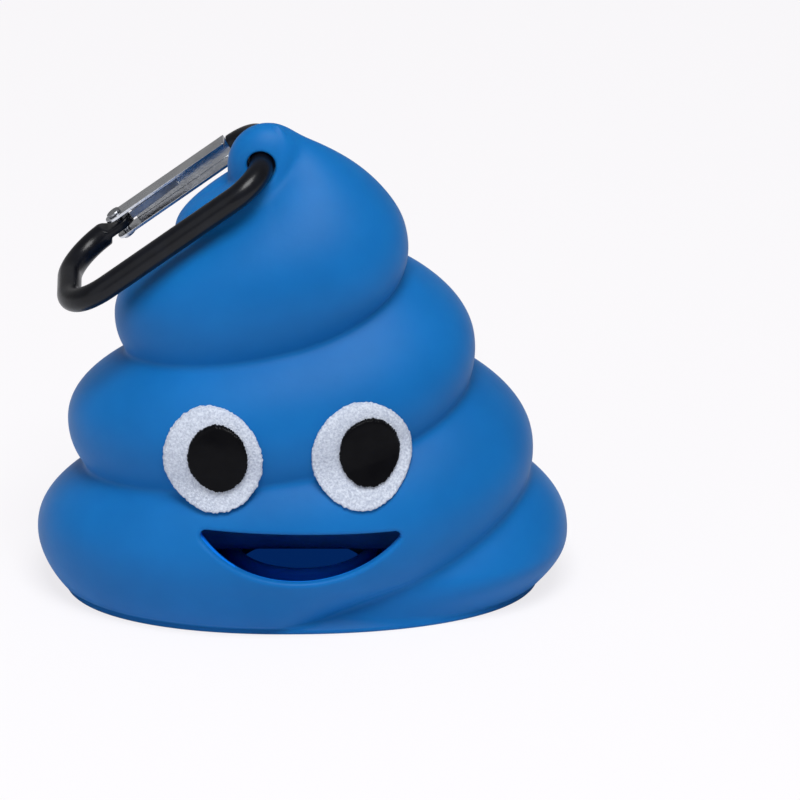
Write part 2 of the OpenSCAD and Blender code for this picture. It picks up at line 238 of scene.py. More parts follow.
# %% Piece helper
def grid_faces(rows, cols, start=0, closed=True):
    """Quads between neighbouring rows of a rows x cols grid of points."""
    i = np.arange(cols if closed else cols - 1)
    j = np.arange(rows - 1)[:, None]
    a, b = start + j * cols + i, start + j * cols + (i + 1) % cols
    return np.stack([a, b, b + cols, a + cols], axis=-1).reshape(-1, 4)


def make_piece(name, points, faces, material, body, replaces):
    """Builds the mesh in metres, merges doubled points and turns the faces outwards."""
    mesh = bpy.data.meshes.new(name)
    mesh.from_pydata((np.asarray(points, float) * MM).tolist(), [], [list(map(int, f)) for f in faces])
    piece = bpy.data.objects.new(name, mesh)
    bpy.context.collection.objects.link(piece)
    shape = bmesh.new()
    shape.from_mesh(mesh)
    bmesh.ops.remove_doubles(shape, verts=shape.verts, dist=1e-7)
    loose = [v for v in shape.verts if not v.link_faces]
    bmesh.ops.delete(shape, geom=loose, context="VERTS")
    bmesh.ops.recalc_face_normals(shape, faces=shape.faces)
    open_edges = sum(1 for e in shape.edges if len(e.link_faces) != 2)
    triangles = sum(len(f.verts) - 2 for f in shape.faces)
    shape.to_mesh(mesh)
    shape.free()
    mesh.shade_smooth()
    mesh.materials.append(material)
    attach(piece, body)
    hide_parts(*replaces)
    print(f"{name}: {triangles} triangles, {open_edges} open edges")
    return piece


# %% [markdown]
# ## Shader building blocks
# Two effects come back in several finishes: a mottle, which moves a colour a little from place to
# place, and a grain, which makes a bump. Each is a node group with named inputs.

# %% Shader groups
def new_group(name, inputs, outputs):
    """An empty shader node group with float or colour sockets and its input and output nodes."""
    group = bpy.data.node_groups.new(name, "ShaderNodeTree")
    for label, kind, value in inputs:
        socket = group.interface.new_socket(label, in_out="INPUT", socket_type=kind)
        if value is not None:
            socket.default_value = value
    for label, kind in outputs:
        group.interface.new_socket(label, in_out="OUTPUT", socket_type=kind)
    return group, group.nodes.new("NodeGroupInput"), group.nodes.new("NodeGroupOutput")


FLOAT, COLOUR, VECTOR = "NodeSocketFloat", "NodeSocketColor", "NodeSocketVector"


def noise_node(tree, detail):
    """A noise texture with the same roughness in every group."""
    noise = tree.nodes.new("ShaderNodeTexNoise")
    noise.inputs["Detail"].default_value = detail
    noise.inputs["Roughness"].default_value = 0.55
    return noise


def mottle_group():
    """Colour = low to high by a noise of the given scale, with the noise's middle stretched."""
    group, inside, outside = new_group(
        "mottle", [("Low", COLOUR, None), ("High", COLOUR, None), ("Scale", FLOAT, 60.0)],
        [("Color", COLOUR)])
    where = group.nodes.new("ShaderNodeTexCoord")
    noise = noise_node(group, 4)
    ramp = group.nodes.new("ShaderNodeMapRange")
    ramp.inputs["From Min"].default_value, ramp.inputs["From Max"].default_value = 0.35, 0.65
    mix = group.nodes.new("ShaderNodeMix")
    mix.data_type = "RGBA"
    link = group.links.new
    link(where.outputs["Object"], noise.inputs["Vector"])
    link(inside.outputs["Scale"], noise.inputs["Scale"])
    link(noise.outputs["Fac"], ramp.inputs["Value"])
    link(ramp.outputs["Result"], mix.inputs["Factor"])
    link(inside.outputs["Low"], mix.inputs["A"])
    link(inside.outputs["High"], mix.inputs["B"])
    link(mix.outputs["Result"], outside.inputs["Color"])
    return group


def grain_group():
    """Normal = bump of a fine noise, in metres of height."""
    group, inside, outside = new_group(
        "grain", [("Scale", FLOAT, 1500.0), ("Height", FLOAT, 0.00005)], [("Normal", VECTOR)])
    where = group.nodes.new("ShaderNodeTexCoord")
    noise = noise_node(group, 3)
    bump = group.nodes.new("ShaderNodeBump")
    link = group.links.new
    link(where.outputs["Object"], noise.inputs["Vector"])
    link(inside.outputs["Scale"], noise.inputs["Scale"])
    link(noise.outputs["Fac"], bump.inputs["Height"])
    link(inside.outputs["Height"], bump.inputs["Distance"])
    link(bump.outputs["Normal"], outside.inputs["Normal"])
    return group


MOTTLE, GRAIN = mottle_group(), grain_group()
print("node groups:", [group.name for group in bpy.data.node_groups])

# %% [markdown]
# ## Finishes
# Silicone is matt and takes most of its colour from below the surface, so it has little gloss and
# some subsurface light. The hollow gets a brighter copy of the blue as painted light, which stands in
# for the light that comes through the thin wall. Flock is rough and speckled, the pupils and the wire
# are black with a weak shine, and the gate and rivet are bright metal.

# %% Finishes

def srgb(r, g, b):
    """Linear colour of an 8-bit display colour."""
    v = np.array([r, g, b]) / 255
    linear = np.where(v <= 0.04045, v / 12.92, ((v + 0.055) / 1.055) ** 2.4)
    return (*[float(c) for c in linear], 1.0)


def make_finish(name, low, high, scale, grain_scale, grain_height, roughness, **constants):
    """Principled BSDF with a mottled colour and a fine grain, the rest as plain constants."""
    material = bpy.data.materials.new(name)
    material.use_nodes = True
    tree = material.node_tree
    shader = tree.nodes["Principled BSDF"]
    mottle = tree.nodes.new("ShaderNodeGroup")
    mottle.node_tree = MOTTLE
    mottle.inputs["Low"].default_value = low
    mottle.inputs["High"].default_value = high
    mottle.inputs["Scale"].default_value = scale
    grain = tree.nodes.new("ShaderNodeGroup")
    grain.node_tree = GRAIN
    grain.inputs["Scale"].default_value = grain_scale
    grain.inputs["Height"].default_value = grain_height
    tree.links.new(mottle.outputs["Color"], shader.inputs["Base Color"])
    tree.links.new(grain.outputs["Normal"], shader.inputs["Normal"])
    shader.inputs["Roughness"].default_value = roughness
    for socket, value in constants.items():
        shader.inputs[socket.replace("_", " ")].default_value = value
    return material


silicone = make_finish("blue silicone", srgb(5, 95, 162), srgb(9, 103, 173), 45, 900, 0.00002, 0.5,
                       Sheen_Weight=0.03, Specular_IOR_Level=0.14, Subsurface_Weight=0.15,
                       Subsurface_Scale=0.002, Subsurface_Radius=(0.15, 0.5, 1.0))
# Painted light: a brighter blue for the hollow's faces, standing in for light through the thin wall.
hollow_painted_light = make_finish("silicone with painted light in the hollow", srgb(10, 120, 232), srgb(14, 130, 240), 45, 900,
                             0.00002, 0.6, Specular_IOR_Level=0.1)
flock = make_finish("white flock", srgb(168, 176, 194), srgb(206, 213, 226), 2600, 3600, 0.0002, 0.95,
                    Sheen_Weight=0.15, Specular_IOR_Level=0.1)
gloss_black = make_finish("glossy black pad", srgb(3, 3, 6), srgb(8, 8, 11), 300, 900, 0.00001, 0.4,
                          Coat_Weight=0.03, Coat_Roughness=0.12, Specular_IOR_Level=0.06)
black_coat = make_finish("satin black coat", srgb(7, 8, 13), srgb(13, 15, 22), 300, 1500, 0.00002, 0.3,
                         Coat_Weight=0.08, Coat_Roughness=0.2, Specular_IOR_Level=0.2)
bright_sheet = make_finish("bright folded sheet", srgb(205, 207, 212), srgb(226, 228, 232), 250, 1800,
                           0.00002, 0.2, Metallic=1.0)
steel = make_finish("plain steel", srgb(150, 152, 158), srgb(176, 178, 183), 300, 1500, 0.00002, 0.3,
                    Metallic=1.0)
film = make_finish("bag film", srgb(40, 104, 170), srgb(62, 130, 190), 90, 260, 0.0002, 0.35)
black_plastic = make_finish("black tube", srgb(22, 22, 24), srgb(32, 32, 35), 200, 900, 0.00003, 0.5)
print("finishes:", [m.name for m in bpy.data.materials if m.use_nodes])

# %% [markdown]
# ## The body's net of rings
# One net of rings runs over the whole body without a seam: up the skin to the tip, and from the
# sole's edge over the floor, round the refill opening's collar and up the hollow's wall to its
# ceiling. Inside, each point of the front is placed at the same x as the point outside, so that an
# opening cut through both needs no stitching.

# %% Body rings
COLS = 288
ROWS, CAP_ROWS = 187, 22
ROW_STEP = TIP_Z / ROWS
REFILL_R, REFILL_Y = 10.5, 3.5
COLLAR_W, COLLAR_TOP, SOFT_EDGE = 2.0, FLOOR_T + 2.9, 0.8
CEILING_RISE = 0.9
CAVITY_TOP = TIER_LEFT_Z[3] + 3
turns = np.arange(COLS) / COLS


def outer_rows():
    """Heights of the skin's rows: level up to the tip's centre, then on an ellipse to the top."""
    cap = TIP_Z + TIP_RISE * np.sin(np.pi / 2 * np.arange(1, CAP_ROWS + 1) / (CAP_ROWS + 0.5))
    return np.concatenate([np.arange(ROWS + 1) * ROW_STEP, cap])


def ring_between(ring, radius, z, share):
    """A ring that is the share of the way from a given ring to a circle round the refill opening."""
    angle = 2 * np.pi * turns
    circle = np.stack([SHIFT[0] - radius * np.cos(angle),
                       SHIFT[1] + REFILL_Y - radius * np.sin(angle), z + 0 * angle], axis=-1)
    flat = ring.copy()
    flat[:, 2] = z
    return flat * (1 - share) + circle * share


def hollow_ring(z):
    """The hollow's ring at z; in front, low down, its points keep the skin's x."""
    outer = axis_x(z) - swirl_radius(turns, z) * round_off(np.cos(2 * np.pi * turns))
    c = round_off(np.cos(2 * np.pi * turns))
    keep = ease((0.85 - np.abs(c)) / 0.4) * ease((32 - z) / 6) * (turns < 0.5)
    turn = turns.copy()
    for _ in range(6):
        radius = hollow_radius(turn, z)
        wanted = c * (1 - keep) + keep * (axis_x(z) - outer) / radius
        wanted = np.clip(wanted, -1, 1)
        half = np.arccos(np.sign(wanted) * np.abs(wanted) ** (SQUARENESS / 2)) / (2 * np.pi)
        turn = np.where(turns < 0.5, half, turns)
    return skin_point(turn, np.full(COLS, z), hollow_radius(turn, z))


OUT_Z = outer_rows()
outer = skin_point(turns[None, :], OUT_Z[:, None], swirl_radius(turns[None, :], OUT_Z[:, None]))
first_in, last_in, high_step = 7, 60, 1.6
in_z = np.concatenate([[FLOOR_T], OUT_Z[first_in:last_in], np.arange(OUT_Z[last_in], CAVITY_TOP, high_step),
                       [CAVITY_TOP]])
inner = np.stack([hollow_ring(z) for z in in_z])

# The four lowest rows become the sole's rounded edge and its step up to the body
for row, (z, reach) in enumerate([(0.0, -0.2), (0.2, 0.0), (0.6, 0.0), (FOOT_EDGE_T, -0.25)]):
    outer[row] = skin_point(turns, np.full(COLS, z), foot_radius(turns) + reach)
sole = outer[0]

# Inwards over the ground, up the refill opening, over its round collar and out over the floor
arc = np.linspace(0, np.pi / 2, 5)
lower = [ring_between(sole, REFILL_R + SOFT_EDGE, 0, s) for s in (0.01, 0.3, 0.65, 0.98)]
lower += [ring_between(sole, REFILL_R + SOFT_EDGE * (1 - np.sin(a)), SOFT_EDGE * (1 - np.cos(a)), 1)
          for a in arc]
lower += [ring_between(sole, REFILL_R, z, 1) for z in (2, 3.2, COLLAR_TOP - SOFT_EDGE)]
over = np.linspace(0, np.pi, 9)[1:]
lower += [ring_between(sole, REFILL_R + COLLAR_W / 2 - COLLAR_W / 2 * np.cos(a),
                       COLLAR_TOP - SOFT_EDGE + SOFT_EDGE * np.sin(a), 1) for a in over]
lower += [ring_between(sole, REFILL_R + COLLAR_W + f * f, FLOOR_T + 0.6 * (1 - f) ** 2, 1)
          for f in (0, 0.3, 0.6, 1)]
lower += [ring_between(inner[0], REFILL_R + COLLAR_W + 1, FLOOR_T, s) for s in (0.8, 0.5, 0.2, 0.03)]
ceiling = [inner[-1] * (1 - s) + np.array([axis_x(CAVITY_TOP), 0, CAVITY_TOP + SOFT_EDGE * s]) * s
           for s in (0.1, 0.35, 0.6, 0.85)]
net = np.concatenate([outer[::-1], np.stack(lower), inner, np.stack(ceiling)])
print("body net:", net.shape)

# %% [markdown]
# ## Openings with soft lips
# The bag outlet is a D that is cut straight through the front wall, and the clip's hole is a round
# one through the tip. The net's cells inside an outline are left out, the points round the gap are
# moved onto the outline, and a strip with rounded edges joins the two sides. This gives a moulded
# lip, which a Boolean's sharp cut would not.

# %% Openings
OUTLET_W, OUTLET_DROP, OUTLET_TOP, OUTLET_CORNER, OUTLET_X = 34.8, 8.7, 19.4, 0.9, -0.15
OUTLET_R = ((OUTLET_W / 2) ** 2 + OUTLET_DROP**2) / (2 * OUTLET_DROP)
HOLE = np.array([-6.55, 0, 76.3]) + SHIFT
HOLE_R = 2.35
LIP = 0.9
HOLE_LIP = 0.5


def outlet_curve(t, out):
    """Point and normal on the D, out mm outside it. t: 0-1 top, 1-2 corner, 2-3 bow, 3-4 corner."""
    t = np.asarray(t, float)
    corner_z = OUTLET_TOP - OUTLET_CORNER
    centre_z = OUTLET_TOP + OUTLET_R - OUTLET_DROP
    half = np.sqrt((OUTLET_R - OUTLET_CORNER) ** 2 - (centre_z - corner_z) ** 2)
    low = -np.arctan2(centre_z - corner_z, half)
    part = np.clip(np.floor(t), 0, 3).astype(int)
    f = t - part
    angle = np.choose(part, [np.pi / 2 + 0 * f, np.pi / 2 + (low - np.pi / 2) * f,
                             low + (-np.pi - 2 * low) * f, np.pi - low + (np.pi / 2 - np.pi + low) * f])
    angle = np.where(part == 3, -np.pi - low - (np.pi / 2 - low) * f, angle)
    normal = np.stack([np.cos(angle), np.sin(angle)], axis=-1)
    corner_r, bow_r = OUTLET_CORNER + out, OUTLET_R + out
    x0 = np.choose(part, [half * (2 * f - 1), half + 0 * f, 0 * f, -half + 0 * f])
    z0 = np.choose(part, [corner_z + 0 * f, corner_z + 0 * f, centre_z + 0 * f, corner_z + 0 * f])
    reach = np.choose(part, [corner_r + 0 * f, corner_r + 0 * f, bow_r + 0 * f, corner_r + 0 * f])
    middle = np.stack([x0 + OUTLET_X + SHIFT[0], z0], axis=-1)
    return middle + normal * reach[..., None], normal


def hole_curve(t, out):
    """Circle round the clip hole's axis; t 0-4 is once round."""
    angle = -np.asarray(t, float) * np.pi / 2
    normal = np.stack([np.cos(angle), np.sin(angle)], axis=-1)
    return HOLE[[0, 2]] + normal * (HOLE_R + out), normal


def inside_curve(points, curve, out):
    """Even-odd test of points against the closed curve, as whole arrays."""
    line = curve(np.linspace(0, 4, 400, endpoint=False), out)[0]
    a, b = line, np.roll(line, -1, axis=0)
    x, z = points[..., 0, None], points[..., 1, None]
    crosses = (a[:, 1] > z) != (b[:, 1] > z)
    with np.errstate(divide="ignore", invalid="ignore"):
        at = (b[:, 0] - a[:, 0]) * (z - a[:, 1]) / (b[:, 1] - a[:, 1]) + a[:, 0]
    return (np.sum(crosses & (x < at), axis=-1) % 2) == 1


def cut(rows, cols, curve, out):
    """Leaves out the cells inside the curve.

    Returns the gap's edge points in order along the curve, and their curve values t."""
    r, c = np.meshgrid(rows, cols, indexing="ij")
    corners = [net[r, c], net[r, c + 1], net[r + 1, c], net[r + 1, c + 1]]
    gone = inside_curve(sum(corners)[..., [0, 2]] / 4, curve, out)
    kept[r[gone], c[gone]] = False
    touched = np.zeros(net.shape[:2], int)
    for dr in (0, 1):
        for dc in (0, 1):
            np.add.at(touched, (r[gone] + dr, c[gone] + dc), 1)
    edge = np.argwhere((touched > 0) & (touched < 4))
    steps = np.linspace(0, 4, 4000, endpoint=False)
    line = curve(steps, out)[0]
    own = net[edge[:, 0], edge[:, 1]][:, [0, 2]]
    nearest = np.argmin(((own[:, None, :] - line[None]) ** 2).sum(-1), axis=1)
    order = np.argsort(steps[nearest], kind="stable")
    edge, t = edge[order], steps[nearest][order]
    return edge, t


def put_edge(edge, t, curve, out, radius_of, rear):
    """Moves the edge points onto the curve, on the skin."""
    at = curve(t, out)[0]
    net[edge[:, 0], edge[:, 1]] = skin_at(at[:, 0], at[:, 1], radius_of, rear)


def lip_rows(t, curve, radius, skins):
    """Rows of points from one skin's edge, round its lip, through the wall and round the other's.

    A lip is a quarter circle: radius * (1 - sin a) outside the curve, radius * (1 - cos a) deep."""
    rows = []
    angles = np.linspace(0, np.pi / 2, 7)[1:]
    for k, (radius_of, rear, inwards) in enumerate(skins):
        side = []
        for a in angles:
            at = curve(t, radius * (1 - np.sin(a)))[0]
            point = skin_at(at[:, 0], at[:, 1], radius_of, rear)
            point[:, 1] += inwards * radius * (1 - np.cos(a))
            side.append(point)
        rows += side if k == 0 else side[::-1]
    return np.stack(rows)


top_row = len(OUT_Z) - 1
kept = np.ones((len(net) - 1, COLS), bool)
inner_start = len(OUT_Z) + len(lower)
strips = []


def open_front(curve, lip, z_span, x_span):
    """Cuts one opening through the front skin between the given heights and widths."""
    rows = top_row - np.where((OUT_Z > z_span[0]) & (OUT_Z < z_span[1]))[0]
    across = net[rows][:, :, 0].mean(axis=0)
    cols = np.where((np.arange(COLS) < COLS // 2) & (across > x_span[0]) & (across < x_span[1]))[0]
    return cut(np.arange(rows.min(), rows.max()), cols, curve, lip)


# The bag outlet: outer row j lies at net row top_row - j, inner row j at inner_start + 1 + j - first_in
edge, t = open_front(outlet_curve, LIP, (8, 24), (-22, 22))
gone = np.argwhere(~kept)
row_sum = inner_start + 1 + top_row - first_in
kept[row_sum - 1 - gone[:, 0], gone[:, 1]] = False
inner_edge = edge.copy()
inner_edge[:, 0] = row_sum - edge[:, 0]
put_edge(edge, t, outlet_curve, LIP, swirl_radius, False)
put_edge(inner_edge, t, outlet_curve, LIP, hollow_radius, False)
through_wall = lip_rows(t, outlet_curve, LIP, [(swirl_radius, False, 1), (hollow_radius, False, -1)])
strips.append((edge, through_wall, inner_edge))
print("outlet edge points:", len(edge))

# The clip's hole: the same cells are left out in front and, mirrored, behind
before = kept.copy()
edge, t = open_front(hole_curve, HOLE_LIP, (72, 81), (-11, -2))
gone = np.argwhere(before & ~kept)
kept[gone[:, 0], COLS - 1 - gone[:, 1]] = False
rear_edge = edge.copy()
rear_edge[:, 1] = (COLS - edge[:, 1]) % COLS
put_edge(edge, t, hole_curve, HOLE_LIP, swirl_radius, False)
put_edge(rear_edge, t, hole_curve, HOLE_LIP, swirl_radius, True)
through_tip = lip_rows(t, hole_curve, HOLE_LIP, [(swirl_radius, False, 1), (swirl_radius, True, -1)])
strips.append((edge, through_tip, rear_edge))
print("hole edge points:", len(edge))


def body_mesh():
    """All points and faces: the net's kept cells, the two poles and the lipped strips."""
    rows = len(net)
    cells = grid_faces(rows, COLS)[kept.ravel()]
    points = [net.reshape(-1, 3)]
    count = rows * COLS
    faces = [cells.tolist()]
    poles = np.array([[axis_x(OUT_Z[-1]), SHIFT[1], TIP_Z + TIP_RISE],
                      [axis_x(CAVITY_TOP), 0, CAVITY_TOP + CEILING_RISE]])
    points.append(poles)
    ring = np.arange(COLS)
    faces.append(np.stack([ring, (ring + 1) % COLS, ring * 0 + count], axis=-1).tolist())
    last = (rows - 1) * COLS
    faces.append(np.stack([last + ring, last + (ring + 1) % COLS, ring * 0 + count + 1], axis=-1).tolist())
    count += 2
    for edge, middle, other in strips:
        n = len(edge)
        ids = [edge[:, 0] * COLS + edge[:, 1]]
        for row in middle:
            ids.append(count + np.arange(n))
            points.append(row)
            count += n
        ids.append(other[:, 0] * COLS + other[:, 1])
        ids = np.stack(ids)
        nxt = np.roll(ids, -1, axis=1)
        faces.append(np.stack([ids[:-1], nxt[:-1], nxt[1:], ids[1:]], axis=-1).reshape(-1, 4).tolist())
    return np.concatenate(points), sum(faces, [])


body_points, body_faces = body_mesh()
body = make_piece("soft_body", body_points, body_faces, silicone, "body", ["shell"])

# %% [markdown]
# ## Painted light in the hollow
# The hollow belongs to the same piece, so it takes a second, brighter blue on its faces: painted light,
# standing in for the light that comes through the thin wall. A face is inside where its middle lies
# more than about half a wall inside the skin's ring at its height.

# %% Painted light inside
HALF_WALL = 0.55 * WALL


def paint_light_inside(piece):
    """Second material, a brighter blue as painted light, on the faces of the hollow: above the floor and a
    margin inside the skin.
    """
    mesh = piece.data
    mesh.materials.append(hollow_painted_light)
    middle = np.empty(len(mesh.polygons) * 3)
    mesh.polygons.foreach_get("center", middle)
    middle = middle.reshape(-1, 3) / MM - SHIFT
    z = middle[:, 2]
    away = middle[:, 0] + SHIFT[0] - axis_x(z)
    depth = np.where(middle[:, 1] < 0, front_depth(z), rear_depth(z))
    level = np.abs(away) ** SQUARENESS + np.abs(middle[:, 1] / depth) ** SQUARENESS
    turn = np.arctan2(-middle[:, 1] / depth, -away) / (2 * np.pi) % 1
    skin = swirl_radius(turn, z)
    between = (z > FLOOR_T - 0.1) & (z < CAVITY_TOP + 1)
    inside = (level ** (1 / SQUARENESS) < skin - HALF_WALL / depth) & between
    mesh.polygons.foreach_set("material_index", inside.astype(int))
    print("faces inside:", int(inside.sum()), "of", len(mesh.polygons))


paint_light_inside(body)

# %% [markdown]
# ## Eyes
# The real eyes are flocked pads with a printed-on glossy pupil, both a little raised and ragged at
# the rim. Each is a net of ovals on a swollen copy of the skin, whose rim wavers and whose edge is
# rounded down to the skin.

# %% Eyes
PAD_X, PAD_Z = (-14.5, 9.9), (31.0, 32.0)
PAD_SIZE, PAD_T = (16.4, 17.4), 0.9
PUPIL_SIZE, PUPIL_T = (9.9, 11.5), 0.7
PUPIL_SHIFT_X, PUPIL_SHIFT_Z = (0.8, 1.3), 0.7


def pad_surface(x, z, grow):
    """A point of the smoothed front, grow mm proud of it."""
    def radius_of(turn, height):
        """The skin's radius with its valleys filled, plus the lift as the ring measures it."""
        return swirl_radius(turn, height, PAD_VALLEY) + grow / front_depth(height)
    turn = turn_at(x, z, radius_of)
    return skin_point(turn, z, radius_of(turn, z))


def oval_pad(centre, size, low, high, ragged, seed, spokes=360):
    """Ovals from the middle out to the rim, round it and under, down to the real skin."""
    rng = np.random.default_rng(seed)
    angle = 2 * np.pi * np.arange(spokes) / spokes
    waver = sum(rng.normal() * np.cos(k * angle + rng.uniform(0, 6.3)) / k**0.45 for k in range(3, 90))
    waver = 1 + ragged * waver / np.abs(waver).max()
    shares = np.concatenate([np.linspace(0.04, 0.9, 14), [0.94, 0.97, 0.99, 1, 1, 0.995, 0.9]])
    lifts = np.concatenate([np.full(14, 1.0), [0.98, 0.9, 0.72, 0.45, 0.1, -0.3, -0.4]])
    rings = []
    for share, lift in zip(shares, lifts):
        rim = 1 + (waver - 1) * ease((share - 0.5) / 0.45)
        x = centre[0] + size[0] / 2 * share * rim * np.cos(angle)
        z = centre[1] + size[1] / 2 * share * rim * np.sin(angle)
        grow = low + (high - low) * lift
        ring = pad_surface(x, z, grow)
        if lift < 0.2:
            ring[:, 1] = np.maximum(ring[:, 1], skin_at(x, z)[:, 1] + (0.1 if lift < 0 else -0.1))
        rings.append(ring)
    points = np.concatenate(rings)
    middles = np.stack([pad_surface(np.array([centre[0]]), np.array([centre[1]]), high)[0],
                        points[-spokes:].mean(axis=0)])
    ring = np.arange(spokes)
    last = (len(rings) - 1) * spokes
    count = len(points)
    faces = grid_faces(len(rings), spokes).tolist()
    faces += np.stack([ring, (ring + 1) % spokes, ring * 0 + count], axis=-1).tolist()
    faces += np.stack([last + ring, last + (ring + 1) % spokes, ring * 0 + count + 1], axis=-1).tolist()
    return np.concatenate([points, middles]), faces


for side, name in enumerate(("left", "right")):
    x = PAD_X[side] + SHIFT[0]
    points, faces = oval_pad((x, PAD_Z[side]), PAD_SIZE, 0, PAD_T, 0.022, 5 + side)
    make_piece(f"{name}_flocked_eye", points, faces, flock, "body", [f"{name}_eye_white"])
    points, faces = oval_pad((x + PUPIL_SHIFT_X[side], PAD_Z[side] + PUPIL_SHIFT_Z), PUPIL_SIZE,
                             PAD_T, PAD_T + PUPIL_T, 0.03, 15 + side)
    make_piece(f"{name}_glossy_pupil", points, faces, gloss_black, "body", [f"{name}_pupil"])

# %% [markdown]
# ## The wire clip
# The clip is one bent wire whose far end is forged flat for the rivet. A tube carried along the
# wire's path does this, with a section that changes from round to flat, and the path is the clip's
# own outline of straights and quarter bends. It lies in the clip's plane, which leans on the body.

# %% Wire clip
WIRE_R, CLIP_L, CLIP_LEAN = 2.0, 39.6, np.radians(37)
SPINE_W, GATE_W = -9.8, 12.5
BEND_NEAR, BEND_FAR = 6.0, 8.0
PIVOT_S, TAB_T = CLIP_L - 10.6, 1.6
GATE_SIZE = (3.6, 3.9)
TAB_R = GATE_SIZE[0] / 2 + 0.2


def in_clip(s, w, n):
    """From the clip's own length s, width w and thickness n to the body's frame."""
    x = HOLE[0] - s * np.cos(CLIP_LEAN) + n * np.sin(CLIP_LEAN)
    z = HOLE[2] - s * np.sin(CLIP_LEAN) - n * np.cos(CLIP_LEAN)
    return np.stack([x, HOLE[1] + w + 0 * s, z], axis=-1)


def quarter(radius, centre, start, steps=28):
    """Points of a quarter circle in the clip's plane, from the start angle onwards."""
    angle = np.radians(np.linspace(start, start + 90, steps))
    return np.stack([centre[0] + radius * np.cos(angle), centre[1] + radius * np.sin(angle)], axis=-1)


def clip_path():
    """The wire's centre line: nose, near bends, spine, far bends and the forged end."""
    far = CLIP_L - BEND_FAR
    nose = quarter(BEND_NEAR, (BEND_NEAR, GATE_W - BEND_NEAR), 90)
    corner = quarter(BEND_NEAR, (BEND_NEAR, SPINE_W + BEND_NEAR), 180)
    first = quarter(BEND_FAR, (far, SPINE_W + BEND_FAR), 270)
    second = quarter(BEND_FAR, (far, GATE_W - BEND_FAR), 0)
    end = np.array([[far - 0.4, GATE_W], [PIVOT_S + TAB_R, GATE_W], [PIVOT_S - TAB_R, GATE_W]])
    corners = np.concatenate([nose, corner, first, second, end])
    step = np.append(0, np.cumsum(np.linalg.norm(np.diff(corners, axis=0), axis=1)))
    along_wire = np.concatenate([np.linspace(0, 0.3, 3), np.linspace(0.6, step[-1] - 6, 230),
                                 step[-1] - 6 * (1 - np.linspace(0, 1, 60)[1:]) ** 1.3])
    path = np.stack([np.interp(along_wire, step, corners[:, k]) for k in (0, 1)], axis=-1)
    return path, step[-1] - along_wire


def clip_wire(spokes=40):
    """A superellipse section carried along the path: |u|^e + |v|^e = 1, round to flat at the end."""
    path, left = clip_path()
    tangent = np.gradient(path, axis=0)
    tangent /= np.linalg.norm(tangent, axis=1)[:, None]
    side = np.stack([tangent[:, 1], -tangent[:, 0]], axis=-1)
    flat = ease((2 * TAB_R + 1.6 - left) / 1.4)
    wide = WIRE_R * (1 - flat) + flat * np.sqrt(np.clip(TAB_R**2 - (left - TAB_R) ** 2, 0.05, None)
                                                * (left < TAB_R) + TAB_R**2 * (left >= TAB_R))
    thick = WIRE_R * (1 - flat) + (TAB_T / 2 - 0.05) * flat
    power = (2 + 4 * flat)[:, None]
    angle = 2 * np.pi * np.arange(spokes) / spokes
    u = np.sign(np.cos(angle)) * np.abs(np.cos(angle)) ** (2 / power)
    v = np.sign(np.sin(angle)) * np.abs(np.sin(angle)) ** (2 / power)
    s = path[:, :1] + side[:, :1] * wide[:, None] * u
    w = path[:, 1:] + side[:, 1:] * wide[:, None] * u
    return closed_tube(in_clip(s, w, thick[:, None] * v))


def closed_tube(rings):
    """Points and faces of a grid of rings with a point in the middle of each end."""
    rows, cols = rings.shape[:2]
    middles = rings[[0, -1]].mean(axis=1)
    ring = np.arange(cols)
    faces = grid_faces(rows, cols).tolist()
    for k, start in enumerate((0, (rows - 1) * cols)):
        faces += np.stack([start + ring, start + (ring + 1) % cols, ring * 0 + rows * cols + k],
                          axis=-1).tolist()
    return np.concatenate([rings.reshape(-1, 3), middles]), faces


points, faces = clip_wire()
make_piece("wire_clip", points, faces, black_coat, "clip", ["clip_body"])

# %% [markdown]
# ## Gate, rivet and spring
# These are folded and turned metal, so the solids already have the right shape. Real sheet has no
# sharp edge, and a thin bright line along each edge is what makes it look like metal. A merged copy
# of each solid gets a small bevel for that.

# %% Gate and rivet
def bevelled_copy(node, name, material, body, width):
    """A merged copy of a solid, flat faces joined, with its edges rounded by width mm."""
    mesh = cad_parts[node].data.copy()
    shape = bmesh.new()
    shape.from_mesh(mesh)
    bmesh.ops.remove_doubles(shape, verts=shape.verts, dist=1e-6)
    bmesh.ops.dissolve_limit(shape, angle_limit=np.radians(1), verts=shape.verts, edges=shape.edges)
    bmesh.ops.recalc_face_normals(shape, faces=shape.faces)
    shape.to_mesh(mesh)
    shape.free()
    mesh.materials.clear()
    mesh.materials.append(material)
    piece = bpy.data.objects.new(name, mesh)
    bpy.context.collection.objects.link(piece)
    bevel = piece.modifiers.new("rounded edges", "BEVEL")
    bevel.width = width * MM
    bevel.segments = 2
    bevel.limit_method = "ANGLE"
    bevel.angle_limit = np.radians(40)
    bevel.use_clamp_overlap = True
    mesh.shade_smooth()
    mesh.set_sharp_from_angle(angle=np.radians(35))
    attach(piece, body)
    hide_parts(node)
    print(f"{name}: {len(mesh.polygons)} faces before the bevel")
    return piece


bevelled_copy("clip_gate", "folded_gate", bright_sheet, "gate", 0.09)
bevelled_copy("gate_rivet", "domed_rivet", steel, "clip", 0.12)
bevelled_copy("gate_spring", "leaf_spring", steel, "gate", 0.04)
bevelled_copy("roll_core", "core_tube", black_plastic, "roll", 0.15)

# %% [markdown]
# ## The wound bags
# A roll of thin film isn't a smooth cylinder: its windings bulge a little, and its ends show their
# edges as fine rings. The winding is a ring-shaped section turned round the core, with ripples on
# its ends, and the outermost bag is a thin sleeve that runs off into a loose flap.

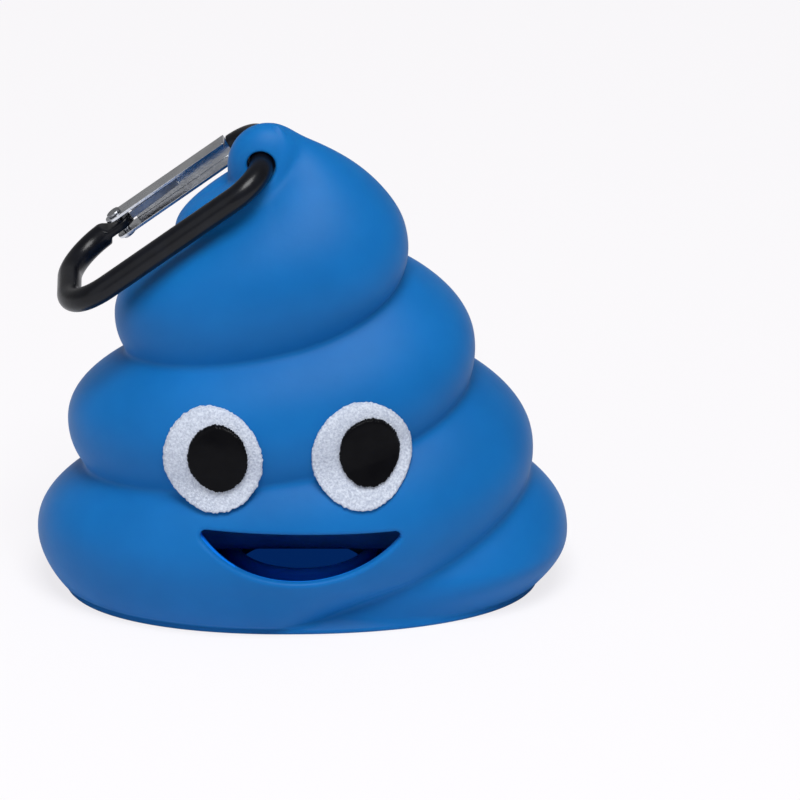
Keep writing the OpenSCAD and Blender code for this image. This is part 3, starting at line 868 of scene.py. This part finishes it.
# %% Bag roll
ROLL_L, ROLL_R, CORE_R, BAG_T, FLAP_SHOWN = 60.0, 8.5, 5.8, 0.3, 1.68
roll_low, roll_high = (np.array(c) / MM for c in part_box("roll_core"))
ROLL_AXIS = (roll_low + roll_high) / 2
FLAP_ANGLE = 2.6
FLAP_TURN = np.array([[np.cos(FLAP_ANGLE), np.sin(FLAP_ANGLE)], [-np.sin(FLAP_ANGLE), np.cos(FLAP_ANGLE)]])


def in_roll(x, radius, angle):
    """From the roll's length x, radius and angle to the body's frame."""
    return ROLL_AXIS + np.stack([x + 0 * angle, radius * np.cos(angle), radius * np.sin(angle)], axis=-1)


def winding(spokes=160):
    """Ring section: bore, rippled end, outside with slow creases, rippled end."""
    ends = np.linspace(0, 1, 25)
    radius_up = CORE_R + 0.05 + (ROLL_R - BAG_T - 0.1 - CORE_R) * ends
    ripple = 0.16 + 0.14 * np.cos(ends * 24 * np.pi)
    long = np.linspace(-1, 1, 60)[1:-1]
    x = np.concatenate([-ROLL_L / 2 + ripple, long * (ROLL_L / 2 - 0.4), (ROLL_L / 2 - ripple)[::-1]])
    radius = np.concatenate([radius_up, 0 * long + radius_up[-1], radius_up[::-1]])
    angle = 2 * np.pi * np.arange(spokes) / spokes
    crease = 0.05 * np.sin(3 * angle + x[:, None] * 0.35) * np.sin(7 * angle - x[:, None] * 0.21)
    outer_share = ease((radius[:, None] - 7.4) / 0.7)
    rings = in_roll(x[:, None], radius[:, None] + (crease - 0.05) * outer_share, angle[None, :])
    faces = grid_faces(len(rings) + 1, spokes)
    return rings.reshape(-1, 3), (faces % (len(rings) * spokes)).tolist()


def leading_sleeve(rows=70):
    """A strip BAG_T thick, once round the roll and off into a flap that lifts away from it."""
    turn = np.radians(np.linspace(0, 352, 150))
    mid = ROLL_R - BAG_T / 2 - 0.02
    round_part = np.stack([mid * np.cos(turn), mid * np.sin(turn)], axis=-1)
    direction = np.array([-np.sin(turn[-1] - 0.1), np.cos(turn[-1] - 0.1)])
    flap = round_part[-1] + np.linspace(0, 1, 9)[1:, None] * FLAP_SHOWN * direction
    line = np.concatenate([round_part, flap]) @ FLAP_TURN
    ahead = np.gradient(line, axis=0)
    ahead /= np.linalg.norm(ahead, axis=1)[:, None]
    out = np.stack([ahead[:, 1], -ahead[:, 0]], axis=-1) * (BAG_T / 2 - 0.03)
    outline = np.concatenate([line + out, (line - out)[::-1]])
    x = np.linspace(-1, 1, rows)[:, None] * (ROLL_L / 2 - 0.6)
    rings = ROLL_AXIS + np.stack([x + 0 * outline[None, :, 0], outline[None, :, 0] + 0 * x,
                                  outline[None, :, 1] + 0 * x], axis=-1)
    rows, cols = rings.shape[:2]
    faces = grid_faces(rows, cols).tolist()
    half = cols // 2
    i = np.arange(half - 1)
    for start in (0, (rows - 1) * cols):
        faces += np.stack([start + i, start + i + 1, start + cols - 2 - i, start + cols - 1 - i],
                          axis=-1).tolist()
    return rings.reshape(-1, 3), faces


points, faces = winding()
make_piece("wound_bags", points, faces, film, "roll", ["bag_roll"])
points, faces = leading_sleeve()
make_piece("loose_bag", points, faces, film, "roll", ["leading_bag"])

# %% [markdown]
# ## Floor, light and surroundings
# The background is near white with a soft contact shadow. A pale floor and a white world give that
# by their colour alone, so that the lamps can stay low. A soft key lamp from above in front models
# the tiers, and a weak one fills in from the left. Under the body the floor is painted navy, and for
# the camera it glows in that colour: painted shade where it shows through the refill opening.

# %% Stage and light
BACKDROP = srgb(253, 251, 253)
GLOW_SHARE = 0.8
# Painted shade: navy on the floor under the body, which also glows in that colour for the camera.
PAINTED_SHADE_UNDER_BODY = srgb(3, 40, 100)


def lighten_for_camera(tree):
    """Mixes the backdrop's colour into what the camera sees of the floor.

    Under the body, where it shows through the refill opening, the floor is painted navy for all light, and
    for the camera it also glows in that colour: painted shade that stands in for the hollow's dim blue
    light."""
    shader, out = tree.nodes["Principled BSDF"], tree.nodes["Material Output"]
    glow = tree.nodes.new("ShaderNodeEmission")
    where = tree.nodes.new("ShaderNodeTexCoord")
    oval = tree.nodes.new("ShaderNodeMapping")
    oval.inputs["Scale"].default_value = (1 / (FOOT_R[0] * MM), 1 / (FOOT_R[0] * DEPTH_SHARE * MM), 0)
    reach = tree.nodes.new("ShaderNodeVectorMath")
    reach.operation = "LENGTH"
    outside = tree.nodes.new("ShaderNodeMath")
    outside.operation = "GREATER_THAN"
    outside.inputs[1].default_value = 0.9
    path = tree.nodes.new("ShaderNodeLightPath")
    part = tree.nodes.new("ShaderNodeMath")
    part.operation = "MULTIPLY"
    part.inputs[1].default_value = GLOW_SHARE
    mix = tree.nodes.new("ShaderNodeMixShader")
    link = tree.links.new
    link(where.outputs["Object"], oval.inputs["Vector"])
    link(oval.outputs["Vector"], reach.inputs[0])
    link(reach.outputs["Value"], outside.inputs[0])
    link(path.outputs["Is Camera Ray"], part.inputs[0])
    # Painted shade: the floor's colour is navy within 0.9 of the sole's oval.
    ground = tree.nodes.new("ShaderNodeMix")
    ground.data_type = "RGBA"
    ground.inputs["A"].default_value = PAINTED_SHADE_UNDER_BODY
    ground.inputs["B"].default_value = shader.inputs["Base Color"].default_value
    link(outside.outputs["Value"], ground.inputs["Factor"])
    link(ground.outputs["Result"], shader.inputs["Base Color"])
    # The camera sees the floor glow in the backdrop's colour, and navy under the body as painted shade.
    light = tree.nodes.new("ShaderNodeMix")
    light.data_type = "RGBA"
    light.inputs["A"].default_value = PAINTED_SHADE_UNDER_BODY
    light.inputs["B"].default_value = BACKDROP
    link(outside.outputs["Value"], light.inputs["Factor"])
    link(light.outputs["Result"], glow.inputs["Color"])
    link(part.outputs["Value"], mix.inputs["Fac"])
    link(shader.outputs["BSDF"], mix.inputs[1])
    link(glow.outputs["Emission"], mix.inputs[2])
    link(mix.outputs["Shader"], out.inputs["Surface"])


def make_stage():
    """A floor that looks white to the camera and shades a little to everything else, with painted navy
    shade under the body.
    """
    mesh = bpy.data.meshes.new("floor")
    half = 3.0
    mesh.from_pydata([(-half, -half, 0), (half, -half, 0), (half, half, 0), (-half, half, 0)], [],
                     [(0, 1, 2, 3)])
    floor = bpy.data.objects.new("floor", mesh)
    bpy.context.collection.objects.link(floor)
    material = bpy.data.materials.new("pale floor")
    material.use_nodes = True
    shader = material.node_tree.nodes["Principled BSDF"]
    shader.inputs["Base Color"].default_value = srgb(240, 240, 244)
    shader.inputs["Roughness"].default_value = 0.9
    shader.inputs["Specular IOR Level"].default_value = 0.1
    lighten_for_camera(material.node_tree)
    mesh.materials.append(material)


def make_world(strength):
    """Plain soft light for the object and for gloss, the backdrop's colour for the camera."""
    world = bpy.data.worlds.new("studio")
    bpy.context.scene.world = world
    world.use_nodes = True
    tree = world.node_tree
    plain = tree.nodes["Background"]
    plain.inputs["Color"].default_value = (1, 1, 1, 1)
    plain.inputs["Strength"].default_value = strength
    seen = tree.nodes.new("ShaderNodeBackground")
    seen.inputs["Color"].default_value = BACKDROP
    path = tree.nodes.new("ShaderNodeLightPath")
    mix = tree.nodes.new("ShaderNodeMixShader")
    tree.links.new(path.outputs["Is Camera Ray"], mix.inputs["Fac"])
    tree.links.new(plain.outputs["Background"], mix.inputs[1])
    tree.links.new(seen.outputs["Background"], mix.inputs[2])
    tree.links.new(mix.outputs["Shader"], tree.nodes["World Output"].inputs["Surface"])


def make_lamp(name, place, size, power):
    """A square area lamp at a place in mm that points at the body's middle."""
    lamp = bpy.data.objects.new(name, bpy.data.lights.new(name, "AREA"))
    lamp.data.size = size
    lamp.data.energy = power
    lamp.location = Vector(np.array(place, float) * MM)
    lamp.rotation_euler = (Vector((0, 0, 0.04)) - lamp.location).to_track_quat("-Z", "Y").to_euler()
    bpy.context.collection.objects.link(lamp)


make_stage()
make_world(0.26)
make_lamp("key", (60, -420, 950), 0.5, 10.5)
make_lamp("fill", (-700, -600, 400), 0.8, 1.2)
bpy.context.scene.view_settings.view_transform = "Standard"
